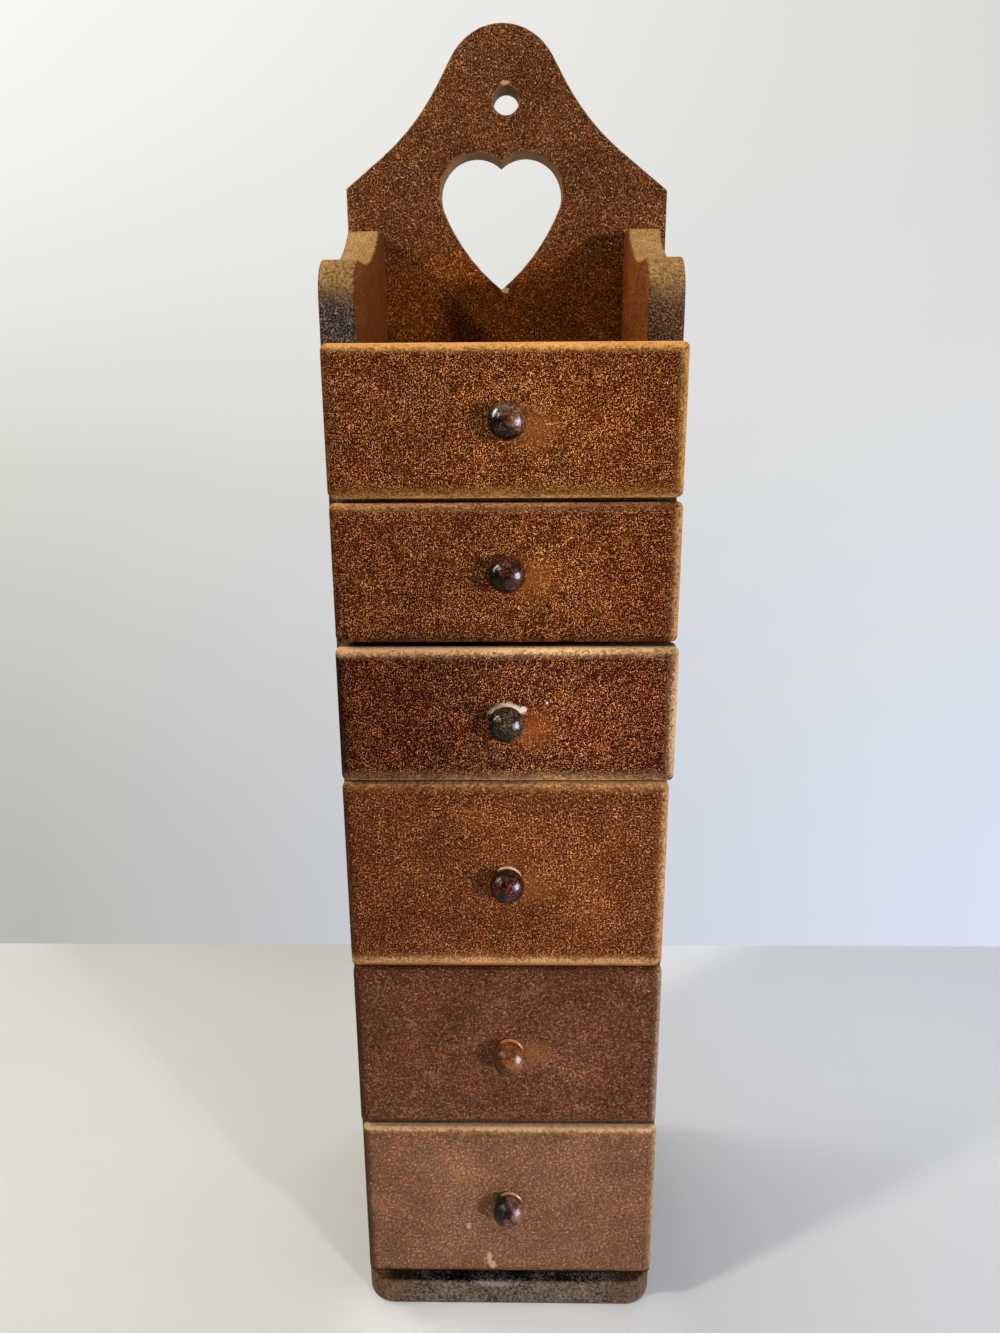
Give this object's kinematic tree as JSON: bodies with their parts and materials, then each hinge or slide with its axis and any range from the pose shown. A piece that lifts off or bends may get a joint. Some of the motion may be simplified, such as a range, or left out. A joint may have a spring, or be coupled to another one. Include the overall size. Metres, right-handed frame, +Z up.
{
  "type": "spice cabinet",
  "caption": "Tall narrow spice cabinet with stacked overlay drawers, an open top tray between scroll-cut cheeks, and a bell-shaped back with a heart and a hanging hole.",
  "frame": {"origin": "centre of the footprint's bounding box, on the surface that the base stands on", "axes": "+Z up along the cabinet's height, +Y towards the wall, -Y the way the drawers pull out, +X to the right of someone facing the drawers"},
  "size_m": [0.1356, 0.1334, 0.5503],
  "materials": {
    "stained_board": "satin brown stain on pressed fibreboard",
    "front_stain": "satin brown stain, fibres showing, edges worn lighter",
    "base_stain": "worn greyish brown stain",
    "raw_board": "bare fibreboard with stain marks",
    "knob_lacquer": "glossy dark lacquer",
    "nail_steel": "dull steel with a little rust"
  },
  "bodies": {
    "case": {"back_board": "stained_board", "side_left": "stained_board", "side_right": "stained_board", "base_board": "base_stain", "bottom_shelf": "raw_board", "tray_floor": "raw_board", "divider_1": "raw_board", "divider_2": "raw_board", "divider_3": "raw_board", "divider_4": "raw_board", "divider_5": "raw_board", "back_nails": "nail_steel", "base_nails": "nail_steel"},
    "drawer_1": {"drawer_1_front": "front_stain", "drawer_1_side_left": "raw_board", "drawer_1_side_right": "raw_board", "drawer_1_back": "raw_board", "drawer_1_bottom": "raw_board", "drawer_1_knob": "knob_lacquer", "drawer_1_brads": "nail_steel"},
    "drawer_2": {"drawer_2_front": "front_stain", "drawer_2_side_left": "raw_board", "drawer_2_side_right": "raw_board", "drawer_2_back": "raw_board", "drawer_2_bottom": "raw_board", "drawer_2_knob": "knob_lacquer", "drawer_2_brads": "nail_steel"},
    "drawer_3": {"drawer_3_front": "front_stain", "drawer_3_side_left": "raw_board", "drawer_3_side_right": "raw_board", "drawer_3_back": "raw_board", "drawer_3_bottom": "raw_board", "drawer_3_knob": "knob_lacquer", "drawer_3_brads": "nail_steel"},
    "drawer_4": {"drawer_4_front": "front_stain", "drawer_4_side_left": "raw_board", "drawer_4_side_right": "raw_board", "drawer_4_back": "raw_board", "drawer_4_bottom": "raw_board", "drawer_4_knob": "knob_lacquer", "drawer_4_brads": "nail_steel"},
    "drawer_5": {"drawer_5_front": "front_stain", "drawer_5_side_left": "raw_board", "drawer_5_side_right": "raw_board", "drawer_5_back": "raw_board", "drawer_5_bottom": "raw_board", "drawer_5_knob": "knob_lacquer", "drawer_5_brads": "nail_steel"},
    "drawer_6": {"drawer_6_front": "front_stain", "drawer_6_side_left": "raw_board", "drawer_6_side_right": "raw_board", "drawer_6_back": "raw_board", "drawer_6_bottom": "raw_board", "drawer_6_knob": "knob_lacquer", "drawer_6_brads": "nail_steel"}
  },
  "joints": [
    {"name": "drawer_1_slide", "type": "slide", "parent": "case", "child": "drawer_1", "axis": [0, -1, 0], "range_m": [0, 0.08]},
    {"name": "drawer_2_slide", "type": "slide", "parent": "case", "child": "drawer_2", "axis": [0, -1, 0], "range_m": [0, 0.08]},
    {"name": "drawer_3_slide", "type": "slide", "parent": "case", "child": "drawer_3", "axis": [0, -1, 0], "range_m": [0, 0.08]},
    {"name": "drawer_4_slide", "type": "slide", "parent": "case", "child": "drawer_4", "axis": [0, -1, 0], "range_m": [0, 0.08]},
    {"name": "drawer_5_slide", "type": "slide", "parent": "case", "child": "drawer_5", "axis": [0, -1, 0], "range_m": [0, 0.08]},
    {"name": "drawer_6_slide", "type": "slide", "parent": "case", "child": "drawer_6", "axis": [0, -1, 0], "range_m": [0, 0.08]}
  ]
}
